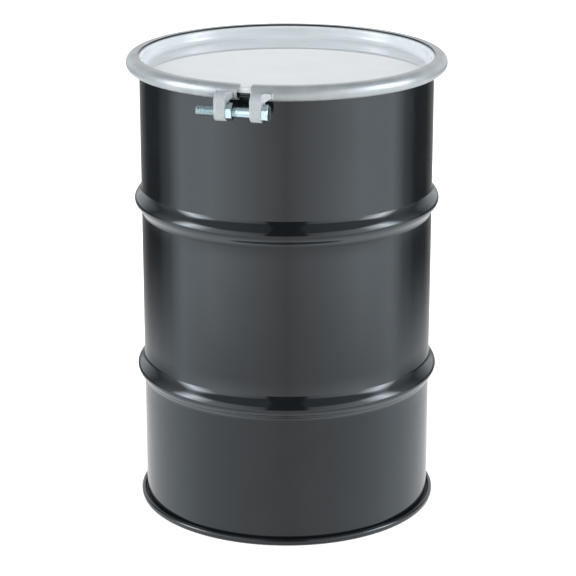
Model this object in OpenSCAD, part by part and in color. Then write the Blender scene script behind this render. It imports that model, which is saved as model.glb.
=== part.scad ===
/* Open-head steel drum with a bolted closing ring.
   Millimetres, +Z up. The origin is on the drum's axis at floor level, and the
   gap in the closing ring faces -Y. */

/* [Body] */
// Inside diameter of the body
body_inside_d = 463.6; // [400:0.2:560]
// Height from the floor to the top of the closed ring
overall_h = 741; // [660:1:900]
// Thickness of the body, bottom and cover sheet
sheet_t = 1.2; // [1:0.1:1.4]
// Height of the lower rolling hoop's crest
lower_hoop_z = 228; // [150:1:280]
// Height of the upper rolling hoop's crest
upper_hoop_z = 509; // [400:1:560]
// How far each hoop stands out from the body
hoop_out = 11; // [6:0.5:14]
// Outside radius of the curl at the body's mouth
curl_r = 6.3; // [5.8:0.1:6.5]

/* [Cover] */
// Depth of the cover's flat panel below the top of the closing ring
cover_depth = 21; // [18:0.5:40]
// Radius between the cover's panel and its wall
cover_corner_r = 10; // [6:0.5:12]

/* [Closing ring] */
// Thickness of the ring's steel
ring_t = 2.7; // [2:0.1:2.8]
// Height of the ring
ring_h = 23; // [22.8:0.1:23.4]
// Width of the gap between the ring's ends
ring_gap = 20; // [12:1:30]
// Length of each lug along the bolt
lug_t = 17; // [10:0.5:18]
// Radius of each lug's rounded ends
lug_r = 14; // [13:0.25:14.5]

/* [Bolt] */
// Diameter of the bolt
bolt_d = 15.875; // [12:0.125:16]
// Length of the bolt under its head
bolt_l = 101.6; // [90:0.1:120]
// Width across the flats of the bolt's head and the nut
hex_flats = 23.8; // [19:0.1:24]
// Height of the bolt's head
bolt_head_h = 9.9; // [8:0.1:11]
// Thickness of the jam nut
nut_h = 9.5; // [7:0.1:10]

/* [Hidden] */
$fn = 96;

drum_black = [0.09, 0.10, 0.11];
ring_grey = [0.62, 0.65, 0.66];
cover_grey = [0.80, 0.81, 0.83];
zinc = [0.74, 0.77, 0.77];
rubber_black = [0.12, 0.12, 0.12];
sealant_grey = [0.45, 0.45, 0.43];

arc_step = 7.5;    // degrees between the points of an arc in a section
gap_paint = 0.1;   // clearance between stacked sheets
hoop_run = 22;     // half the height that a hoop takes

// Body and its two ends
body_r = body_inside_d / 2 + sheet_t / 2;   // middle of the wall's sheet
body_out_r = body_r + sheet_t / 2;

// Bottom seam: the head folds round the body's hook
hook_r = 3.1;                                     // middle of the body's hook fold
hook_fold_z = 5.3;
hook_tip_z = 7.4;
hook_out_r = body_r + 2 * hook_r;
head_wall_r = body_inside_d / 2 - sheet_t / 2 - 0.05;
head_out_r = hook_out_r + hook_r;
foot_corner_r = 3;
head_fold_z = 7.2;
head_hook_tip_z = 5.4;
bottom_panel_z = 20;
bottom_corner_r = 6;

// Closing ring: a C section round the cover's rim and the body's curl
ring_c_z = overall_h - ring_h / 2;
ring_arc_r = ring_h / 2 - ring_t / 2;             // middle of the C's sheet
ring_c_r = body_r + 10.2;                         // centre of the C's round back
ring_out_r = ring_c_r + ring_h / 2;
ring_top_tip_r = body_r + 1.6;
ring_low_tip_r = body_r + 5.6;

// Cover rim, gasket and curl, stacked under the ring's upper lip
cover_top_z = overall_h - ring_t - gap_paint - sheet_t / 2;
curl_top_z = overall_h - 7.5;
curl_c_r = body_r + curl_r - sheet_t / 2;
curl_c_z = curl_top_z - curl_r;
cover_wall_r = body_r - 3.3;
cover_panel_z = overall_h - cover_depth - sheet_t / 2;
cover_skirt_r = body_r + 13.8;
cover_skirt_z = curl_c_z + 2.5;
cover_rim_r = 3;                                  // bend from the cover's wall to its rim
cover_skirt_bend_r = 3.2;
gasket_gap = 0.3;

// Bolt and lugs
bolt_r = ring_out_r + 7;                          // distance of the bolt from the drum's axis
bolt_z = overall_h - 37.5;
lug_top_z = overall_h - 21.5;
plain_lug_x = ring_gap / 2 + 4.6;                 // face of the plain lug nearest the gap
threaded_lug_x = -ring_gap / 2 - 13.1;            // face of the threaded lug nearest the gap
lug_flare = 1.5;                                  // how far a lug's foot spreads along the ring towards -X
threaded_web = 9;                                 // how far the web beside each lug spreads towards +X
plain_web = 11;
web_depth = 12;                                   // how far out from the ring a web begins
web_bottom_z = bolt_z + 15;                       // height where a web starts on the lug
web_edge_z = ring_c_z - 5;                        // height where a web's outer edge starts on the ring
head_seat_x = plain_lug_x + lug_t;
bolt_hole_clearance = 0.8;
thread_clearance = 0.06;
weld_r = 2.2;
weld_from = -30;    // degrees round the ring's back, from its widest point
weld_to = 14;

function arc(c, r, from, to) =
    let (n = ceil(abs(to - from) / arc_step))
    [for (i = [0:n]) let (a = from + (to - from) * i / n) c + r * [cos(a), sin(a)]];

function unit(v) = v / norm(v);

// Offset direction at one point of a path, stretched so that the sheet keeps its thickness in a bend
function side(path, i) =
    let (last = len(path) - 1,
         before = unit(path[max(i, 1)] - path[max(i, 1) - 1]),
         after = unit(path[min(i + 1, last)] - path[min(i, last - 1)]),
         middle = unit(before + after))
    [-middle[1], middle[0]] / (middle * before);

// Outline of a sheet of thickness t whose middle follows path, moved sideways by shift
function sheet(path, t, shift = 0) = concat(
    [for (i = [0:len(path) - 1]) path[i] + side(path, i) * (shift + t / 2)],
    [for (i = [len(path) - 1:-1:0]) path[i] + side(path, i) * (shift - t / 2)]);

// One rolling hoop on the wall, from below to above: a round crest that runs into the wall at both ends
function hoop(z) =
    let (n = 24)
    [for (i = [0:n])
        let (u = -1 + 2 * i / n)
        [body_r + hoop_out * (1 + cos(180 * u)) / 2, z + u * hoop_run]];

wall_from_hook = concat(
    [[hook_out_r, hook_tip_z]],
    arc([body_r + hook_r, hook_fold_z], hook_r, 0, -180));
wall_path = concat(hoop(lower_hoop_z), hoop(upper_hoop_z));
curl_path = arc([curl_c_r, curl_c_z], curl_r - sheet_t / 2, 180, -120);
body_path = concat(wall_from_hook, wall_path, curl_path);

bottom_path = concat(
    [[body_r + hook_r, head_hook_tip_z]],
    arc([hook_out_r, head_fold_z], hook_r, 180, 0),
    arc([head_out_r - foot_corner_r, foot_corner_r + sheet_t / 2], foot_corner_r, 0, -90),
    arc([head_wall_r + foot_corner_r, foot_corner_r + sheet_t / 2], foot_corner_r, -90, -180),
    arc([head_wall_r - bottom_corner_r, bottom_panel_z - bottom_corner_r], bottom_corner_r, 0, 90),
    [[0, bottom_panel_z]]);

cover_path = concat(
    [[0, cover_panel_z]],
    arc([cover_wall_r - cover_corner_r, cover_panel_z + cover_corner_r], cover_corner_r, -90, 0),
    arc([cover_wall_r + cover_rim_r, cover_top_z - cover_rim_r], cover_rim_r, 180, 90),
    arc([cover_skirt_r - cover_skirt_bend_r, cover_top_z - cover_skirt_bend_r], cover_skirt_bend_r, 90, 0),
    [[cover_skirt_r, cover_skirt_z]]);

ring_path = concat(
    [[ring_top_tip_r, ring_c_z + ring_arc_r]],
    arc([ring_c_r, ring_c_z], ring_arc_r, 90, -90),
    [[ring_low_tip_r, ring_c_z - ring_arc_r]]);

module turned(outline, from = 0, angle = 360) {
    rotate([0, 0, from])
        rotate_extrude(angle = angle, $fn = 180)
            polygon(outline);
}

// Half the angle of the ring's gap, as seen from the drum's axis
gap_half_angle = asin(ring_gap / 2 / ring_c_r);

module body_shell() {
    color(drum_black)
        turned(sheet(body_path, sheet_t));
}

// The welded joint where the rolled wall closes on itself, standing slightly proud
module side_seam_weld() {
    seam_low_z = 16;
    seam_top_z = curl_c_z - 8;
    seam_path = concat([[body_r, seam_low_z]], wall_path, [[body_r, seam_top_z]]);
    seam_out = 0.4;
    seam_angle = 1;
    color(drum_black)
        turned(sheet(seam_path, seam_out, -(sheet_t + seam_out) / 2),
               from = 90 - seam_angle / 2, angle = seam_angle);
}

module bottom_head() {
    color(drum_black)
        turned(sheet(bottom_path, sheet_t));
}

// Compound pressed into the two open pockets between the seam's folds
module chime_sealant() {
    clearance = 0.03;
    fill = hook_r - sheet_t - 2 * clearance;
    pocket_z = head_hook_tip_z + 0.4;
    pocket_h = 1.4;
    color(sealant_grey)
        rotate_extrude($fn = 180)
            for (r = [body_out_r + clearance, body_out_r + hook_r + clearance])
                translate([r, pocket_z])
                    square([fill, pocket_h]);
}

module cover() {
    color(cover_grey)
        turned(sheet(cover_path, sheet_t));
}

// Rubber bead under the cover's rim, hollowed where it beds on the body's curl
module cover_gasket() {
    under_rim = cover_top_z - sheet_t / 2;
    gasket_w = 10;
    gasket_h = 6;
    color(rubber_black)
        rotate_extrude($fn = 180)
            difference() {
                translate([curl_c_r - gasket_w / 2, under_rim - gasket_h])
                    square([gasket_w, gasket_h]);
                translate([curl_c_r, curl_c_z])
                    circle(r = curl_r + gasket_gap, $fn = 72);
            }
}

module closing_ring() {
    color(ring_grey)
        turned(sheet(ring_path, ring_t),
               from = -90 + gap_half_angle, angle = 360 - 2 * gap_half_angle);
}

// The space inside the ring's outer surface, which lugs and welds sit against
module ring_envelope() {
    rotate_extrude($fn = 720)
        union() {
            translate([ring_c_r, ring_c_z])
                circle(r = ring_h / 2, $fn = 144);
            translate([ring_low_tip_r, ring_c_z - ring_h / 2])
                square([ring_c_r - ring_low_tip_r, ring_h]);
        }
}

// Puts a shape drawn in the (radius, height) plane at x, running along +X for length
module along_bolt(x, length) {
    translate([x, 0, 0])
        rotate([90, 0, 90])
            mirror([1, 0, 0])
                linear_extrude(length)
                    children();
}

// Side view of a lug, in the (radius, height) plane
module lug_outline() {
    translate([bolt_r, bolt_z])
        circle(r = lug_r);
    translate([bolt_r, lug_top_z])
        circle(r = lug_r);
    translate([bolt_r - lug_r, bolt_z])
        square([2 * lug_r, lug_top_z - bolt_z]);
}

// The sloping foot that joins a lug to the ring: a small flare towards -X and a web towards +X
module lug_foot(x, web) {
    low = x - lug_flare;
    high = x + lug_t + web;
    root_overlap = 2;
    root_y = -ring_out_r + root_overlap;
    tip_y = -ring_out_r - web_depth;
    intersection() {
        along_bolt(low, high - low)
            lug_outline();
        translate([0, 0, web_bottom_z])
            linear_extrude(overall_h - web_bottom_z)
                polygon([[low, -ring_c_r], [low, root_y], [x, tip_y],
                         [x + lug_t, tip_y], [high, root_y], [high, -ring_c_r]]);
        translate([0, -ring_c_r, 0])
            rotate([90, 0, 0])
                linear_extrude(ring_h + web_depth)
                    polygon([[low, overall_h], [low, web_edge_z], [x, web_bottom_z],
                             [x + lug_t, web_bottom_z], [high, web_edge_z], [high, overall_h]]);
    }
}

// A forged lug with round ends and a sloping foot, fitted to the ring's back and bored for the bolt
module lug(x, web, hole_r) {
    difference() {
        union() {
            along_bolt(x, lug_t)
                lug_outline();
            lug_foot(x, web);
        }
        ring_envelope();
        translate([x - 1, -bolt_r, bolt_z])
            rotate([0, 90, 0])
                cylinder(r = hole_r, h = lug_t + 2);
    }
}

// Weld beads down both ends of a lug's foot, where it meets the ring
module lug_welds(x, web) {
    low = x - lug_flare;
    high = x + lug_t + web;
    for (edge = [low, high])
        difference() {
            translate([edge, -sqrt(ring_c_r * ring_c_r - edge * edge), ring_c_z])
                rotate([90, 0, -90])
                    rotate([0, 0, weld_from])
                        rotate_extrude(angle = weld_to - weld_from)
                            translate([ring_h / 2, 0])
                                circle(r = weld_r, $fn = 64);
            ring_envelope();
            translate([low, -ring_out_r - web_depth, overall_h - 2 * ring_h])
                cube([high - low, 3 * web_depth, 3 * ring_h]);
        }
}

module threaded_lug() {
    color(ring_grey)
        lug(threaded_lug_x - lug_t, threaded_web, bolt_d / 2 + thread_clearance);
}

module threaded_lug_weld() {
    color(ring_grey)
        lug_welds(threaded_lug_x - lug_t, threaded_web);
}

module plain_lug() {
    color(ring_grey)
        lug(plain_lug_x, plain_web, bolt_d / 2 + bolt_hole_clearance);
}

module plain_lug_weld() {
    color(ring_grey)
        lug_welds(plain_lug_x, plain_web);
}

// A hexagonal prism along +X with the corners of its +X end cut away
module hex(x, length) {
    corner_r = hex_flats / sqrt(3);
    corner_cut = 1.4;
    translate([x, -bolt_r, bolt_z])
        rotate([0, 90, 0])
            intersection() {
                cylinder(r = corner_r, h = length, $fn = 6);
                cylinder(r1 = corner_r - corner_cut + length, r2 = corner_r - corner_cut, h = length);
            }
}

module ring_bolt() {
    tip_chamfer = 2;
    color(zinc)
        union() {
            hex(head_seat_x, bolt_head_h);
            translate([head_seat_x + 1, -bolt_r, bolt_z])
                rotate([0, -90, 0]) {
                    cylinder(d = bolt_d, h = bolt_l + 1 - tip_chamfer);
                    translate([0, 0, bolt_l + 1 - tip_chamfer])
                        cylinder(d1 = bolt_d, d2 = bolt_d - 2 * tip_chamfer, h = tip_chamfer);
                }
        }
}

module jam_nut() {
    color(zinc)
        difference() {
            hex(threaded_lug_x, nut_h);
            translate([threaded_lug_x - 1, -bolt_r, bolt_z])
                rotate([0, 90, 0])
                    cylinder(r = bolt_d / 2 + thread_clearance, h = nut_h + 2);
        }
}

body_shell();
side_seam_weld();
bottom_head();
chime_sealant();
cover();
cover_gasket();
closing_ring();
threaded_lug();
threaded_lug_weld();
plain_lug();
plain_lug_weld();
ring_bolt();
jam_nut();
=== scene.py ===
"""Visual model of an open-head steel drum: a black body with two rolling hoops, a recessed cover,
and a closing ring drawn tight by a bolt between two lugs. All lengths are in metres."""

import math

import bmesh
import bpy
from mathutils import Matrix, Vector, noise


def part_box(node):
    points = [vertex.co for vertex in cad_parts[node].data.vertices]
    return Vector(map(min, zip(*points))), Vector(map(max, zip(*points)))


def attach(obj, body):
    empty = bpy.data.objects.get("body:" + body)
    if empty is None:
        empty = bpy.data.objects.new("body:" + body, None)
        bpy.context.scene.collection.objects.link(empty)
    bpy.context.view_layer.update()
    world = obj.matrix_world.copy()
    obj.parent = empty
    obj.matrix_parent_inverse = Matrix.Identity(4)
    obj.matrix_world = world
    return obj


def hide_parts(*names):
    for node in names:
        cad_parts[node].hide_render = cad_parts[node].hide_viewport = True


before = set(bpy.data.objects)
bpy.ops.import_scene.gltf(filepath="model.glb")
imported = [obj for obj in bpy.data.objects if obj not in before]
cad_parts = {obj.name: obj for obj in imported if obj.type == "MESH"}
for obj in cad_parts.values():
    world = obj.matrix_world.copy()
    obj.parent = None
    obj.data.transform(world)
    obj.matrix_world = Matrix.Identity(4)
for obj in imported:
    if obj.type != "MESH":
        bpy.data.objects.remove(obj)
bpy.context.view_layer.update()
MM = 0.001


# ---- sizes, from the frame -------------------------------------------------------------------

ring_lo, ring_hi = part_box("closing_ring")
cover_lo, cover_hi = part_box("cover")
shell_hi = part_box("body_shell")[1]
head_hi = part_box("bottom_head")[1]
seam_lo, seam_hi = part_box("side_seam_weld")
gasket_lo, gasket_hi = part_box("cover_gasket")
bolt_lo, bolt_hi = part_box("ring_bolt")
nut_lo, nut_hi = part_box("jam_nut")

SHEET = 1.2 * MM

# the body: its wall, hoops, curl and the fold inside the bottom seam
HOOP_OUT = 11 * MM
HOOP_RUN = 22 * MM
LOWER_HOOP_Z = 228 * MM
UPPER_HOOP_Z = 509 * MM
HOOK_R = 3.1 * MM
HOOK_FOLD_Z = 5.3 * MM
HOOK_TIP_Z = 7.4 * MM
CURL_R = 6.3 * MM
BODY_R = shell_hi.x - HOOP_OUT - SHEET / 2
CURL_C = (BODY_R + CURL_R - SHEET / 2, shell_hi.z - CURL_R)

# the bottom head and its half of the seam
HEAD_WALL_R = BODY_R - SHEET - 0.05 * MM
HEAD_OUT_R = head_hi.x - SHEET / 2
HEAD_FOLD_Z = 7.2 * MM
HEAD_HOOK_TIP_Z = 5.4 * MM
FOOT_CORNER_R = 3 * MM
BOTTOM_PANEL_Z = head_hi.z - SHEET / 2
BOTTOM_CORNER_R = 6 * MM

# the cover
COVER_TOP_Z = cover_hi.z - SHEET / 2
COVER_PANEL_Z = cover_lo.z + SHEET / 2
COVER_SKIRT_R = cover_hi.x - SHEET / 2
COVER_WALL_R = BODY_R - 3.3 * MM
COVER_CORNER_R = 10 * MM
COVER_RIM_R = 3 * MM
COVER_SKIRT_BEND_R = 3.2 * MM
COVER_SKIRT_Z = CURL_C[1] + 2.5 * MM

# the closing ring
RING_T = 2.7 * MM
RING_H = ring_hi.z - ring_lo.z
RING_ARC_R = (RING_H - RING_T) / 2
RING_C = (ring_hi.x - RING_H / 2, ring_hi.z - RING_H / 2)
RING_TOP_TIP_R = BODY_R + 1.6 * MM
RING_LOW_TIP_R = BODY_R + 5.6 * MM
RING_GAP = 20 * MM

# the bolt and nut
BOLT_R = 15.875 * MM / 2
THREAD_PITCH = 2.309 * MM
HEX_APOTHEM = (bolt_hi.y - bolt_lo.y) / 2
HEAD_H = 9.9 * MM
BOLT_Y = (bolt_lo.y + bolt_hi.y) / 2
BOLT_Z = (bolt_lo.z + bolt_hi.z) / 2


# ---- shapes ----------------------------------------------------------------------------------

def arc(centre, radius, start, end, step=6):
    """Points of an arc in the (radius, height) plane, from start to end in degrees."""
    count = max(2, math.ceil(abs(end - start) / step))
    angles = [math.radians(start + (end - start) * i / count) for i in range(count + 1)]
    return [(centre[0] + radius * math.cos(a), centre[1] + radius * math.sin(a)) for a in angles]


def straight(a, b, count):
    """Points between a and b, without the two ends."""
    return [(a[0] + (b[0] - a[0]) * i / count, a[1] + (b[1] - a[1]) * i / count)
            for i in range(1, count)]


def hoop(z, count=44):
    """A rolling hoop, from its lower end to its upper end."""
    steps = [-1 + 2 * i / count for i in range(count + 1)]
    return [(BODY_R + HOOP_OUT * (1 + math.cos(math.pi * u)) / 2, z + u * HOOP_RUN) for u in steps]


def sheet_outline(path, thickness):
    """The closed outline of a sheet whose middle follows path."""
    points = [Vector(p) for p in path]
    sides = []
    for i, here in enumerate(points):
        before = (here - points[i - 1]).normalized() if i else (points[1] - here).normalized()
        after = (points[i + 1] - here).normalized() if i + 1 < len(points) else before
        middle = (before + after).normalized()
        sides.append(Vector((-middle.y, middle.x)) / middle.dot(before))
    left = [p + s * (thickness / 2) for p, s in zip(points, sides)]
    right = [p + s * (-thickness / 2) for p, s in zip(points, sides)]
    return [tuple(p) for p in left + right[::-1]]


def new_piece(name, vertices, faces, sharp_deg=32):
    """A mesh object with smooth shading, apart from edges that bend more than sharp_deg."""
    mesh = bpy.data.meshes.new(name)
    mesh.from_pydata(vertices, [], faces)
    mesh.validate()
    shape = bmesh.new()
    shape.from_mesh(mesh)
    bmesh.ops.remove_doubles(shape, verts=shape.verts, dist=1e-7)
    bmesh.ops.recalc_face_normals(shape, faces=shape.faces)
    shape.to_mesh(mesh)
    shape.free()
    mesh.polygons.foreach_set("use_smooth", [True] * len(mesh.polygons))
    mesh.set_sharp_from_angle(angle=math.radians(sharp_deg))
    piece = bpy.data.objects.new(name, mesh)
    bpy.context.scene.collection.objects.link(piece)
    return piece


def turned(name, outline, segments=288, start=0.0, sweep=360.0, wave=None):
    """A closed outline turned about the drum's axis, with flat ends where it isn't a full turn.
    wave(angle, height) moves the surface out a little, as hand-rolled sheet does."""
    full = sweep >= 360
    rows = segments if full else segments + 1
    count = len(outline)
    vertices = []
    for i in range(rows):
        angle = math.radians(start + sweep * i / segments)
        for radius, height in outline:
            out = radius + (wave(angle, height) if wave and radius > 0 else 0)
            vertices.append((out * math.cos(angle), out * math.sin(angle), height))
    faces = []
    for i in range(segments):
        a, b = i * count, ((i + 1) % rows) * count
        for j in range(count):
            k = (j + 1) % count
            faces.append((a + j, b + j, b + k, a + k))
    if not full:
        for base in (0, segments * count):
            half = count // 2
            for j in range(half - 1):
                faces.append((base + j, base + j + 1, base + count - 2 - j, base + count - 1 - j))
    return new_piece(name, vertices, faces)


def remade(name, node, voxel, smoothing, ripple=None):
    """A CAD node's shape with its edges rounded off, as a forging or a weld bead has them."""
    piece = bpy.data.objects.new(name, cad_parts[node].data.copy())
    piece.data.materials.clear()
    bpy.context.scene.collection.objects.link(piece)
    shape = bmesh.new()
    shape.from_mesh(piece.data)
    bmesh.ops.remove_doubles(shape, verts=shape.verts, dist=1e-6)
    shape.to_mesh(piece.data)
    shape.free()
    remesh = piece.modifiers.new("remesh", "REMESH")
    remesh.mode = "VOXEL"
    remesh.voxel_size = voxel
    smooth = piece.modifiers.new("smooth", "SMOOTH")
    smooth.iterations = smoothing
    bpy.context.view_layer.update()
    mesh = bpy.data.meshes.new_from_object(piece.evaluated_get(bpy.context.evaluated_depsgraph_get()))
    piece.modifiers.clear()
    piece.data = mesh
    if ripple:
        moved = [v.co + v.normal * ripple(v.co) for v in mesh.vertices]
        for v, co in zip(mesh.vertices, moved):
            v.co = co
    mesh.polygons.foreach_set("use_smooth", [True] * len(mesh.polygons))
    return piece


def hex_radius(angle, apothem):
    """Distance from the middle of a hexagon to its side, for flats at 0, 60, 120 degrees."""
    return apothem / math.cos((angle + math.pi / 6) % (math.pi / 3) - math.pi / 6)


def along_bolt(x, radius, angle):
    """A point round the bolt's axis."""
    return (x, BOLT_Y + radius * math.cos(angle), BOLT_Z + radius * math.sin(angle))


def grid_faces(rows, columns):
    """Faces of a closed tube: rows of points, each joined round to its own start."""
    return [(i * columns + j, i * columns + (j + 1) % columns,
             (i + 1) * columns + (j + 1) % columns, (i + 1) * columns + j)
            for i in range(rows - 1) for j in range(columns)]


# ---- materials -------------------------------------------------------------------------------

def node_tree(name, base, roughness, metallic=0.0, specular=0.5):
    """A new material with its Principled node's even values set on the sockets."""
    material = bpy.data.materials.new(name)
    material.use_nodes = True
    tree = material.node_tree
    shader = tree.nodes["Principled BSDF"]
    shader.inputs["Base Color"].default_value = (*base, 1)
    shader.inputs["Roughness"].default_value = roughness
    shader.inputs["Metallic"].default_value = metallic
    shader.inputs["Specular IOR Level"].default_value = specular
    return material, tree, shader


def noise_at(tree, scale, detail=2.0, rough=0.5, stretch=None):
    """Noise in the object's own metres; scale is in features per metre."""
    coords = tree.nodes.new("ShaderNodeTexCoord")
    texture = tree.nodes.new("ShaderNodeTexNoise")
    texture.inputs["Scale"].default_value = scale
    texture.inputs["Detail"].default_value = detail
    texture.inputs["Roughness"].default_value = rough
    if stretch:
        mapping = tree.nodes.new("ShaderNodeMapping")
        mapping.inputs["Scale"].default_value = stretch
        tree.links.new(coords.outputs["Object"], mapping.inputs["Vector"])
        tree.links.new(mapping.outputs["Vector"], texture.inputs["Vector"])
    else:
        tree.links.new(coords.outputs["Object"], texture.inputs["Vector"])
    return texture.outputs["Fac"]


def ramp(tree, value, stops):
    """value through a colour ramp; stops are (position, grey or colour)."""
    node = tree.nodes.new("ShaderNodeValToRGB")
    while len(node.color_ramp.elements) < len(stops):
        node.color_ramp.elements.new(0.5)
    for element, (position, colour) in zip(node.color_ramp.elements, stops):
        element.position = position
        element.color = (*colour, 1) if isinstance(colour, tuple) else (colour, colour, colour, 1)
    tree.links.new(value, node.inputs["Fac"])
    return node.outputs["Color"]


def bump(tree, height, distance, strength=1.0, onto=None):
    """A bump node, on top of another bump where onto is given."""
    node = tree.nodes.new("ShaderNodeBump")
    node.inputs["Distance"].default_value = distance
    node.inputs["Strength"].default_value = strength
    tree.links.new(height, node.inputs["Height"])
    if onto:
        tree.links.new(onto, node.inputs["Normal"])
    return node.outputs["Normal"]


def mixed(tree, factor, a, b):
    """Colour a where factor is 0 and b where it is 1; a and b are colours or sockets."""
    node = tree.nodes.new("ShaderNodeMix")
    node.data_type = "RGBA"
    tree.links.new(factor, node.inputs["Factor"])
    for socket, value in (("A", a), ("B", b)):
        slot = next(s for s in node.inputs if s.name == socket and s.type == "RGBA")
        if isinstance(value, tuple):
            slot.default_value = (*value, 1)
        else:
            tree.links.new(value, slot)
    return next(s for s in node.outputs if s.type == "RGBA")


def edge_mask(tree, low, high):
    """1 on outer edges and 0 elsewhere, from the mesh's pointiness."""
    geometry = tree.nodes.new("ShaderNodeNewGeometry")
    return ramp(tree, geometry.outputs["Pointiness"], [(low, 0.0), (high, 1.0)])


def times(colour, factor):
    """A colour made darker or lighter."""
    return tuple(c * factor for c in colour)


def enamel(name, base, roughness, worn, peel=0.0025, sheet=0.9, cloudy=0.14):
    """Sprayed gloss enamel on rolled sheet: orange peel, slow waves in the sheet, dust and scuffs."""
    material, tree, shader = node_tree(name, base, roughness)
    cloud = noise_at(tree, 9, 3)
    shade = ramp(tree, cloud, [(0.35, times(base, 1 - cloudy)), (0.65, times(base, 1 + cloudy))])
    specks = ramp(tree, noise_at(tree, 900, 2, 0.7), [(0.70, 0.0), (0.78, 1.0)])
    dust = mixed(tree, specks, shade, worn)
    scuff = ramp(tree, noise_at(tree, 55, 6, 0.75, (1, 1, 0.25)), [(0.68, 0.0), (0.80, 0.35)])
    tree.links.new(mixed(tree, scuff, shade, dust), shader.inputs["Base Color"])
    gloss = ramp(tree, noise_at(tree, 24, 5, 0.65),
                 [(0.3, roughness * 0.75), (0.55, roughness), (0.75, roughness * 1.7)])
    tree.links.new(gloss, shader.inputs["Roughness"])
    waves = bump(tree, noise_at(tree, 13, 1, 0.4, (1, 1, 0.35)), sheet * MM, 0.35)
    skin = bump(tree, noise_at(tree, 420, 2, 0.5), peel * MM * 10, 0.25, waves)
    tree.links.new(skin, shader.inputs["Normal"])
    return material


def silver_paint(name, base):
    """Satin silver paint on the rolled ring, with painted shade along the inner edge of its upper leg,
    standing for the narrow crevice beside the cover."""
    material, tree, shader = node_tree(name, base, 0.36, metallic=0.45)
    cloud = noise_at(tree, 30, 4, 0.6)
    shade = ramp(tree, cloud, [(0.35, times(base, 0.90)), (0.65, times(base, 1.08))])
    coords = tree.nodes.new("ShaderNodeTexCoord")
    flat = tree.nodes.new("ShaderNodeVectorMath")
    flat.operation = "MULTIPLY"
    flat.inputs[1].default_value = (1, 1, 0)
    tree.links.new(coords.outputs["Object"], flat.inputs[0])
    radius = tree.nodes.new("ShaderNodeVectorMath")
    radius.operation = "LENGTH"
    tree.links.new(flat.outputs["Vector"], radius.inputs[0])
    # Painted shade: near-black on the ring's innermost faces, up to 0.2 mm past the upper tip and fading
    # out by 0.6 mm, for the shadow in the crevice beside the cover.
    edge = tree.nodes.new("ShaderNodeMapRange")
    edge.inputs["From Min"].default_value = RING_TOP_TIP_R + 0.2 * MM
    edge.inputs["From Max"].default_value = RING_TOP_TIP_R + 0.6 * MM
    tree.links.new(radius.outputs["Value"], edge.inputs["Value"])
    painted_crevice_shade = (0.012, 0.013, 0.013)
    tree.links.new(mixed(tree, edge.outputs["Result"], painted_crevice_shade, shade), shader.inputs["Base Color"])
    grain = noise_at(tree, 700, 3, 0.6)
    tree.links.new(ramp(tree, grain, [(0.3, 0.30), (0.7, 0.44)]), shader.inputs["Roughness"])
    waves = bump(tree, noise_at(tree, 16, 1, 0.4, (1, 1, 0.35)), 0.3 * MM, 0.3)
    tree.links.new(bump(tree, grain, 0.03 * MM, 0.3, waves), shader.inputs["Normal"])
    return material


def forged_paint(name, base):
    """Semi-matte paint over a shot-blasted forging, with fine upright drawing lines and a painted
    highlight along its outer edges.
    """
    material, tree, shader = node_tree(name, base, 0.42)
    lines = noise_at(tree, 900, 3, 0.6, (1, 1, 0.05))
    grain = noise_at(tree, 1500, 3, 0.6)
    shade = ramp(tree, lines, [(0.3, times(base, 0.80)), (0.7, times(base, 1.12))])
    # Painted highlight: outer edges, found by pointiness, are painted 2.2 times lighter than the paint.
    painted_edge_highlight = tuple(min(1.0, c * 2.2) for c in base)
    tree.links.new(mixed(tree, edge_mask(tree, 0.53, 0.60), shade, painted_edge_highlight), shader.inputs["Base Color"])
    tree.links.new(ramp(tree, grain, [(0.3, 0.34), (0.7, 0.55)]), shader.inputs["Roughness"])
    cut = bump(tree, lines, 0.12 * MM, 0.5)
    tree.links.new(bump(tree, grain, 0.08 * MM, 0.4, cut), shader.inputs["Normal"])
    return material


def zinc_plate(name):
    """Bright zinc plating with a cold blue cast, small stains and tool marks."""
    material, tree, shader = node_tree(name, (0.66, 0.74, 0.75), 0.22, metallic=1.0)
    stain = noise_at(tree, 260, 4, 0.6)
    tint = ramp(tree, stain,
                [(0.3, (0.40, 0.50, 0.52)), (0.55, (0.55, 0.64, 0.66)), (0.8, (0.66, 0.70, 0.68))])
    tree.links.new(tint, shader.inputs["Base Color"])
    marks = noise_at(tree, 1600, 3, 0.6, (1, 0.2, 0.2))
    tree.links.new(ramp(tree, marks, [(0.3, 0.16), (0.7, 0.36)]), shader.inputs["Roughness"])
    tree.links.new(bump(tree, marks, 0.05 * MM, 0.4), shader.inputs["Normal"])
    return material


def soft_black(name, base, roughness):
    """Moulded rubber or set compound, with a fine pitted skin."""
    material, tree, shader = node_tree(name, base, roughness)
    pits = noise_at(tree, 1100, 4, 0.6)
    tree.links.new(ramp(tree, pits, [(0.3, times(base, 0.7)), (0.7, times(base, 1.3))]),
                   shader.inputs["Base Color"])
    tree.links.new(ramp(tree, pits, [(0.3, roughness * 0.85), (0.7, min(1.0, roughness * 1.15))]),
                   shader.inputs["Roughness"])
    tree.links.new(bump(tree, pits, 0.15 * MM, 0.5), shader.inputs["Normal"])
    return material


BLACK = enamel("drum_enamel", (0.007, 0.008, 0.009), 0.07, (0.06, 0.06, 0.06))
COVER_GREY = enamel("cover_paint", (0.62, 0.615, 0.61), 0.04, (0.54, 0.54, 0.54), sheet=0.12, cloudy=0.03)
RING_GREY = silver_paint("ring_paint", (0.35, 0.355, 0.355))
LUG_GREY = forged_paint("lug_paint", (0.36, 0.37, 0.37))
ZINC = zinc_plate("zinc")
RUBBER = soft_black("gasket_rubber", (0.03, 0.03, 0.03), 0.75)
SEALANT = soft_black("sealant", (0.25, 0.25, 0.24), 0.6)


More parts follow.
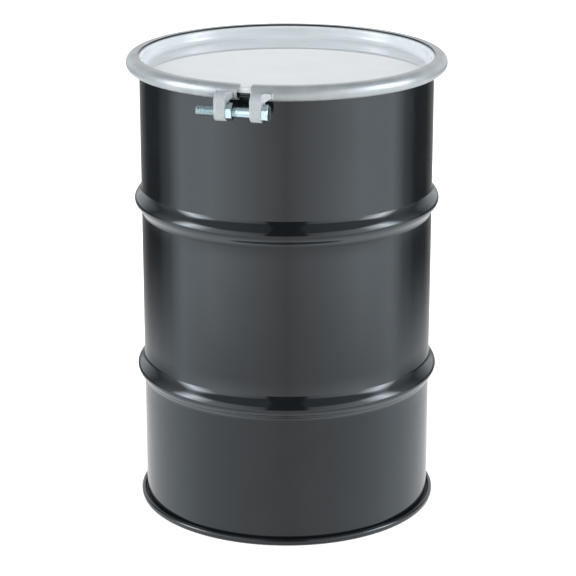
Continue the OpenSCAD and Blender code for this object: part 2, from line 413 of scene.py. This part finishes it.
def finished(piece, material, body, slot, *nodes):
    """Gives a piece its material and its body, and hides the CAD nodes that it stands for; slot is not
    used.
    """
    piece.data.materials.clear()
    piece.data.materials.append(material)
    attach(piece, body)
    if nodes:
        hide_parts(*nodes)
    return piece


# ---- the body and its ends -------------------------------------------------------------------

def sheet_wave(angle, height):
    """The small unevenness of a rolled body, which its reflections show."""
    spot = Vector((math.cos(angle) * 1.3, math.sin(angle) * 1.3, height * 4))
    return noise.noise(spot) * 0.12 * MM


def make_shell():
    wall = [(BODY_R, HOOK_FOLD_Z), *straight((BODY_R, HOOK_FOLD_Z), (BODY_R, LOWER_HOOP_Z - HOOP_RUN), 8),
            *hoop(LOWER_HOOP_Z),
            *straight((BODY_R, LOWER_HOOP_Z + HOOP_RUN), (BODY_R, UPPER_HOOP_Z - HOOP_RUN), 10),
            *hoop(UPPER_HOOP_Z),
            *straight((BODY_R, UPPER_HOOP_Z + HOOP_RUN), (BODY_R, CURL_C[1]), 8)]
    hook = [(BODY_R + 2 * HOOK_R, HOOK_TIP_Z), *arc((BODY_R + HOOK_R, HOOK_FOLD_Z), HOOK_R, 0, -174)]
    path = hook + wall + arc(CURL_C, CURL_R - SHEET / 2, 180, -120)
    shell = turned("shell", sheet_outline(path, SHEET), wave=sheet_wave)
    finished(shell, BLACK, "drum", "drum_enamel", "body_shell")


def make_side_seam():
    """A narrow rolled-down weld up the back, with the small ripples of a resistance seam."""
    low, high = seam_lo.z, seam_hi.z
    rows = 700
    half = 2.0 * MM
    bead = 0.34 * MM
    toe = 0.12 * MM
    depth = 0.6 * MM
    ripple_height = 0.05 * MM
    ripple_run = 1.1 * MM
    across = [-1, -0.7, -0.35, 0, 0.35, 0.7, 1]
    vertices = []
    for i in range(rows + 1):
        z = low + (high - low) * i / rows
        out = BODY_R + SHEET / 2
        for hoop_z in (LOWER_HOOP_Z, UPPER_HOOP_Z):
            u = (z - hoop_z) / HOOP_RUN
            if abs(u) < 1:
                out += HOOP_OUT * (1 + math.cos(math.pi * u)) / 2
        ripple = ripple_height * math.sin(z / ripple_run)
        for u in across:
            proud = bead * (1 - u * u) + ripple * (1 - abs(u)) - toe * abs(u)
            vertices.append((u * half, math.sqrt((out + proud) ** 2 - (u * half) ** 2), z))
    count = len(across)
    inner = len(vertices)
    vertices += [(x, y - depth, z) for x, y, z in vertices]
    faces = [(i * count + j, i * count + j + 1, (i + 1) * count + j + 1, (i + 1) * count + j)
             for i in range(rows) for j in range(count - 1)]
    faces += [tuple(inner + k for k in face[::-1]) for face in faces]
    for i in range(rows):
        for j in (0, count - 1):
            a, b = i * count + j, (i + 1) * count + j
            faces.append((a, b, inner + b, inner + a))
    for i in (0, rows):
        for j in range(count - 1):
            a, b = i * count + j, i * count + j + 1
            faces.append((a, b, inner + b, inner + a))
    seam = new_piece("side_seam", vertices, faces)
    finished(seam, BLACK, "drum", "drum_enamel", "side_seam_weld")


def make_bottom():
    hook = [(BODY_R + HOOK_R, HEAD_HOOK_TIP_Z),
            *arc((HEAD_OUT_R - HOOK_R, HEAD_FOLD_Z), HOOK_R, 180, 0),
            *arc((HEAD_OUT_R - FOOT_CORNER_R, FOOT_CORNER_R + SHEET / 2), FOOT_CORNER_R, 0, -90),
            *arc((HEAD_WALL_R + FOOT_CORNER_R, FOOT_CORNER_R + SHEET / 2), FOOT_CORNER_R, -90, -180),
            *arc((HEAD_WALL_R - BOTTOM_CORNER_R, BOTTOM_PANEL_Z - BOTTOM_CORNER_R), BOTTOM_CORNER_R, 0, 90)]
    panel = [(radius * BODY_R, BOTTOM_PANEL_Z) for radius in (0.9, 0.75, 0.6, 0.45, 0.3, 0.15)]
    centre = [(0.0, BOTTOM_PANEL_Z)]
    bottom = turned("bottom_seam_and_head", sheet_outline(hook + panel + centre, SHEET))
    finished(bottom, BLACK, "drum", "drum_enamel", "bottom_head")


def make_cover():
    panel = [(0.0, COVER_PANEL_Z)]
    panel += [(radius * BODY_R, COVER_PANEL_Z) for radius in (0.15, 0.3, 0.45, 0.6, 0.75, 0.88)]
    path = [*panel,
            *arc((COVER_WALL_R - COVER_CORNER_R, COVER_PANEL_Z + COVER_CORNER_R), COVER_CORNER_R, -90, 0),
            *arc((COVER_WALL_R + COVER_RIM_R, COVER_TOP_Z - COVER_RIM_R), COVER_RIM_R, 180, 90),
            *arc((COVER_SKIRT_R - COVER_SKIRT_BEND_R, COVER_TOP_Z - COVER_SKIRT_BEND_R),
                 COVER_SKIRT_BEND_R, 90, 0),
            (COVER_SKIRT_R, COVER_SKIRT_Z)]
    cover = turned("cover_panel", sheet_outline(path, SHEET))
    finished(cover, COVER_GREY, "cover", "cover_paint", "cover")


def make_gasket():
    """A rubber bead under the cover's rim, hollowed where it beds on the curl."""
    low, high = gasket_lo.z, gasket_hi.z
    radius = CURL_R + 0.3 * MM
    half = gasket_hi.x - CURL_C[0]
    inner_r = CURL_C[0] - half
    angle = math.degrees(math.acos(half / radius))
    hollow = arc(CURL_C, radius, 180 - angle, angle, 5)
    outline = [(inner_r, max(low, hollow[0][1])), *hollow[1:-1], (gasket_hi.x, max(low, hollow[-1][1])),
               (gasket_hi.x, high - 0.8 * MM), (gasket_hi.x - 0.8 * MM, high),
               (inner_r + 0.8 * MM, high), (inner_r, high - 0.8 * MM)]
    gasket = turned("gasket", outline, segments=192)
    finished(gasket, RUBBER, "cover", "gasket_rubber", "cover_gasket")


# ---- the closing ring, its lugs, bolt and nut --------------------------------------------------

def make_ring():
    path = [(RING_TOP_TIP_R, RING_C[1] + RING_ARC_R), *arc(RING_C, RING_ARC_R, 90, -90, 4),
            (RING_LOW_TIP_R, RING_C[1] - RING_ARC_R)]
    half_gap = math.degrees(math.asin(RING_GAP / 2 / RING_C[0]))
    ring = turned("ring_band", sheet_outline(path, RING_T), segments=320,
                  start=-90 + half_gap, sweep=360 - 2 * half_gap)
    edges = ring.modifiers.new("rolled edges", "BEVEL")
    edges.width = 0.5 * MM
    edges.segments = 3
    edges.limit_method = "ANGLE"
    edges.angle_limit = math.radians(50)
    edges.harden_normals = False
    finished(ring, RING_GREY, "ring", "ring_paint", "closing_ring")


def weld_ripple(co):
    """Overlapping puddles down a weld bead, as waves round the ring's section."""
    angle = math.atan2(co.z - RING_C[1], math.hypot(co.x, co.y) - RING_C[0])
    return (abs(math.sin(angle * 14)) * 0.28 - 0.12) * MM + noise.noise(co * 700) * 0.1 * MM


def make_lugs():
    for side in ("threaded", "plain"):
        lug = remade(f"{side}_lug_forging", f"{side}_lug", 0.5 * MM, 5)
        finished(lug, LUG_GREY, "ring", "ring_paint", f"{side}_lug")
        bead = remade(f"{side}_lug_bead", f"{side}_lug_weld", 0.35 * MM, 3, weld_ripple)
        finished(bead, LUG_GREY, "ring", "ring_paint", f"{side}_lug_weld")


def thread_radius(x, angle, start, end):
    """The bolt's radius at x: a 60 degree thread that fades in at both ends of start..end."""
    depth = 0.54 * THREAD_PITCH
    phase = (x / THREAD_PITCH - angle / (2 * math.pi)) % 1
    ridge = min(1, max(0, 1.25 * abs(2 * phase - 1) - 0.125))
    fade = min(1, max(0, (x - start) / (0.6 * MM)), max(0, (end - x) / (2.5 * MM)))
    return BOLT_R - depth * (1 - ridge) * fade


def make_bolt():
    """The hex bolt: chamfered head with a washer face, plain shank, and a thread on its far end."""
    columns = 72
    angles = [2 * math.pi * i / columns for i in range(columns)]
    tip, head_seat, head_end = bolt_lo.x, bolt_hi.x - HEAD_H, bolt_hi.x
    thread_end = -6 * MM
    chamfer = 1.7 * MM
    rows = [[along_bolt(tip, 0.02 * MM, a) for a in angles],
            [along_bolt(tip, BOLT_R - chamfer - 0.5 * MM, a) for a in angles]]
    steps = round((thread_end - tip) / (THREAD_PITCH / 14))
    for i in range(steps + 1):
        x = tip + (thread_end - tip) * i / steps
        cone = BOLT_R - chamfer + (x - tip)
        rows.append([along_bolt(x, min(cone, thread_radius(x, a, tip, thread_end)), a) for a in angles])
    fillet = 0.7 * MM
    washer = 0.4 * MM
    rows.append([along_bolt(head_seat - fillet, BOLT_R, a) for a in angles])
    rows += [[along_bolt(head_seat - fillet + fillet * math.sin(t), BOLT_R + fillet * (1 - math.cos(t)), a)
              for a in angles] for t in (0.5, 1.0, 1.5)]
    rows.append([along_bolt(head_seat, HEX_APOTHEM * 0.93, a) for a in angles])
    rows.append([along_bolt(head_seat + washer, HEX_APOTHEM * 0.95, a) for a in angles])
    rows += hex_rows(head_seat + washer, head_end, angles, chamfer_low=False, chamfer_high=True)
    dish = HEX_APOTHEM * 0.93
    rows.append([along_bolt(head_end, dish * 0.9, a) for a in angles])
    rows.append([along_bolt(head_end - 0.35 * MM, dish * 0.8, a) for a in angles])
    rows.append([along_bolt(head_end - 0.35 * MM, 0.02 * MM, a) for a in angles])
    vertices = [p for row in rows for p in row]
    faces = grid_faces(len(rows), columns)
    faces += [tuple(range(columns)), tuple(range(len(vertices) - columns, len(vertices)))]
    bolt = new_piece("hex_bolt", vertices, faces, 24)
    finished(bolt, ZINC, "bolt", "zinc", "ring_bolt")


def hex_rows(low, high, angles, chamfer_low, chamfer_high):
    """Rings of points up the sides of a hex from low to high, its corners cut by a cone at the ends."""
    slope = math.tan(math.radians(30))
    start = HEX_APOTHEM * 0.97
    rings = []
    levels = [0, 0.25, 0.5, 0.75, 1]

    def cut(angle):
        return max(0.0, (hex_radius(angle, HEX_APOTHEM) - start) * slope)

    if chamfer_low:
        rings.append([along_bolt(low, start, a) for a in angles])
    for level in levels:
        ring = []
        for a in angles:
            bottom = low + (cut(a) if chamfer_low else 0)
            top = high - (cut(a) if chamfer_high else 0)
            ring.append(along_bolt(bottom + (top - bottom) * level, hex_radius(a, HEX_APOTHEM), a))
        rings.append(ring)
    if chamfer_high:
        rings.append([along_bolt(high, start, a) for a in angles])
    return rings


def make_nut():
    """The jam nut, chamfered on both faces, with its thread's countersinks."""
    columns = 72
    angles = [2 * math.pi * i / columns for i in range(columns)]
    low, high = nut_lo.x, nut_hi.x
    sink = 0.9 * MM
    bore = BOLT_R + 0.06 * MM
    rows = hex_rows(low, high, angles, chamfer_low=True, chamfer_high=True)
    rows.append([along_bolt(high, bore + sink, a) for a in angles])
    rows.append([along_bolt(high - sink, bore, a) for a in angles])
    rows.append([along_bolt(low + sink, bore, a) for a in angles])
    rows.append([along_bolt(low, bore + sink, a) for a in angles])
    rows.append(rows[0])
    vertices = [p for row in rows for p in row]
    nut = new_piece("hex_jam_nut", vertices, grid_faces(len(rows), columns), 24)
    finished(nut, ZINC, "nut", "zinc", "jam_nut")


make_shell()
make_side_seam()
make_bottom()
make_cover()
make_gasket()
make_ring()
make_lugs()
make_bolt()
make_nut()

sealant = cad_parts["chime_sealant"]
sealant.data.materials.clear()
sealant.data.materials.append(SEALANT)


# ---- the studio ------------------------------------------------------------------------------

def make_floor():
    """A plain pale floor under the drum."""
    bpy.ops.mesh.primitive_plane_add(size=14, location=(0, 0, -0.0005))
    floor = bpy.context.object
    floor.name = "floor"
    material, tree, shader = node_tree("floor_paper", (0.95, 0.92, 0.88), 0.8, specular=0.1)
    fibre = noise_at(tree, 60, 4, 0.6)
    tree.links.new(ramp(tree, fibre, [(0.3, (0.93, 0.88, 0.83)), (0.7, (0.96, 0.91, 0.86))]),
                   shader.inputs["Base Color"])
    shader.inputs["Emission Color"].default_value = (1, 0.99, 0.97, 1)
    shader.inputs["Emission Strength"].default_value = 0.62
    floor.data.materials.append(material)
    floor.visible_glossy = False


def area_light(name, at, target, size, power):
    """A soft box that lights the drum; the studio round it is what the drum reflects."""
    light = bpy.data.lights.new(name, "AREA")
    light.shape = "RECTANGLE"
    light.size, light.size_y = size
    light.energy = power
    lamp = bpy.data.objects.new(name, light)
    lamp.location = at
    lamp.rotation_mode = "QUATERNION"
    lamp.rotation_quaternion = (Vector(target) - Vector(at)).to_track_quat("-Z", "Y")
    lamp.visible_camera = False
    lamp.visible_glossy = False
    bpy.context.scene.collection.objects.link(lamp)


CAMERA_AZIMUTH = 14.6
COOL = (0.90, 1.0, 1.08)

# A plain studio, the same to the left and the right: a white floor that is brighter at the sides, two
# tall soft boxes, black flags behind them, and an unlit gap where the camera stands. Each list is
# (degrees round from the camera, brightness).
NEAR_FLOOR = [(0, 0.9), (90, 1.5), (180, 0.9)]
FAR_FLOOR = [(0, 1.0), (60, 2.5), (90, 2.0), (105, 0.5), (120, 0.05), (140, 0.05), (180, 0.5)]
BACKDROP = [(0, 0.02), (14, 0.02), (18, 1.0), (60, 2.5), (80, 12.0), (95, 1.0), (120, 0.2), (140, 1.1),
            (180, 1.1)]
CEILING = [(0, 0.02), (14, 0.02), (18, 0.3), (80, 0.6), (180, 0.25)]

# Each row has the height in degrees above the horizon up to which its list holds, and half the width
# of the blend into the next one, as a sine.
STUDIO = [(-19, 0.04, NEAR_FLOOR), (-4, 0.09, FAR_FLOOR), (35, 0.09, BACKDROP), (90, 0.09, CEILING)]


def brightness_round(tree, around, stops, strongest):
    """One list of brightnesses as a ramp round the drum, scaled so that strongest is 1.
    The light is coolest at the sides and neutral in front and behind."""
    points = []
    for angle, level in [(-a, b) for a, b in stops[:0:-1]] + stops:
        amount = min(1, 1.8 * abs(math.sin(math.radians(angle))))
        tint = tuple(level / strongest * (1 + (c - 1) * amount) for c in COOL)
        points.append(((angle + 180) / 360, tint))
    return ramp(tree, around, points)


def make_world():
    """White paper all round for the camera; a mirror sees the studio described above."""
    world = bpy.data.worlds.new("studio")
    bpy.context.scene.world = world
    world.use_nodes = True
    tree = world.node_tree
    tree.nodes.clear()
    output = tree.nodes.new("ShaderNodeOutputWorld")
    seen = tree.nodes.new("ShaderNodeBackground")
    seen.inputs["Color"].default_value = (1, 1, 1, 1)
    strongest = max(level for _, _, stops in STUDIO for _, level in stops) * max(COOL)
    room = tree.nodes.new("ShaderNodeBackground")
    room.inputs["Strength"].default_value = strongest
    coords = tree.nodes.new("ShaderNodeTexCoord")
    turn = tree.nodes.new("ShaderNodeMapping")
    turn.vector_type = "POINT"
    turn.inputs["Rotation"].default_value = (0, 0, math.radians(90 - CAMERA_AZIMUTH))
    tree.links.new(coords.outputs["Generated"], turn.inputs["Vector"])
    around = tree.nodes.new("ShaderNodeTexGradient")
    around.gradient_type = "RADIAL"
    tree.links.new(turn.outputs["Vector"], around.inputs["Vector"])
    split = tree.nodes.new("ShaderNodeSeparateXYZ")
    tree.links.new(coords.outputs["Generated"], split.inputs["Vector"])
    colour = brightness_round(tree, around.outputs["Fac"], STUDIO[0][2], strongest)
    for (height, blur, _), (_, _, stops) in zip(STUDIO, STUDIO[1:]):
        step = tree.nodes.new("ShaderNodeMapRange")
        step.interpolation_type = "SMOOTHSTEP"
        edge = math.sin(math.radians(height))
        step.inputs["From Min"].default_value = edge - blur
        step.inputs["From Max"].default_value = edge + blur
        tree.links.new(split.outputs["Z"], step.inputs["Value"])
        above = brightness_round(tree, around.outputs["Fac"], stops, strongest)
        colour = mixed(tree, step.outputs["Result"], colour, above)
    tree.links.new(colour, room.inputs["Color"])
    path = tree.nodes.new("ShaderNodeLightPath")
    choose = tree.nodes.new("ShaderNodeMixShader")
    tree.links.new(path.outputs["Is Camera Ray"], choose.inputs["Fac"])
    tree.links.new(room.outputs["Background"], choose.inputs[1])
    tree.links.new(seen.outputs["Background"], choose.inputs[2])
    tree.links.new(choose.outputs["Shader"], output.inputs["Surface"])


def make_camera():
    """The photograph's view: from in front and to the right, looking down."""
    distance, height, down = 3.39, 1.442, 17.85
    aside = 0.034
    data = bpy.data.cameras.new("camera")
    data.sensor_width = 36
    data.lens = 136.2
    data.clip_start, data.clip_end = 0.1, 50
    camera = bpy.data.objects.new("camera", data)
    a = math.radians(CAMERA_AZIMUTH)
    camera.location = (distance * math.sin(a), -distance * math.cos(a), height)
    camera.rotation_euler = (math.radians(90 - down), 0, a - math.radians(aside))
    bpy.context.scene.collection.objects.link(camera)
    bpy.context.scene.camera = camera


make_floor()
make_world()
area_light("key", (-1.9, -1.7, 2.0), (0, 0, 0.45), (0.5, 1.6), 7)
area_light("fill", (2.3, -1.1, 1.7), (0, 0, 0.45), (0.4, 1.6), 4)
make_camera()
bpy.context.scene.view_settings.view_transform = "Standard"
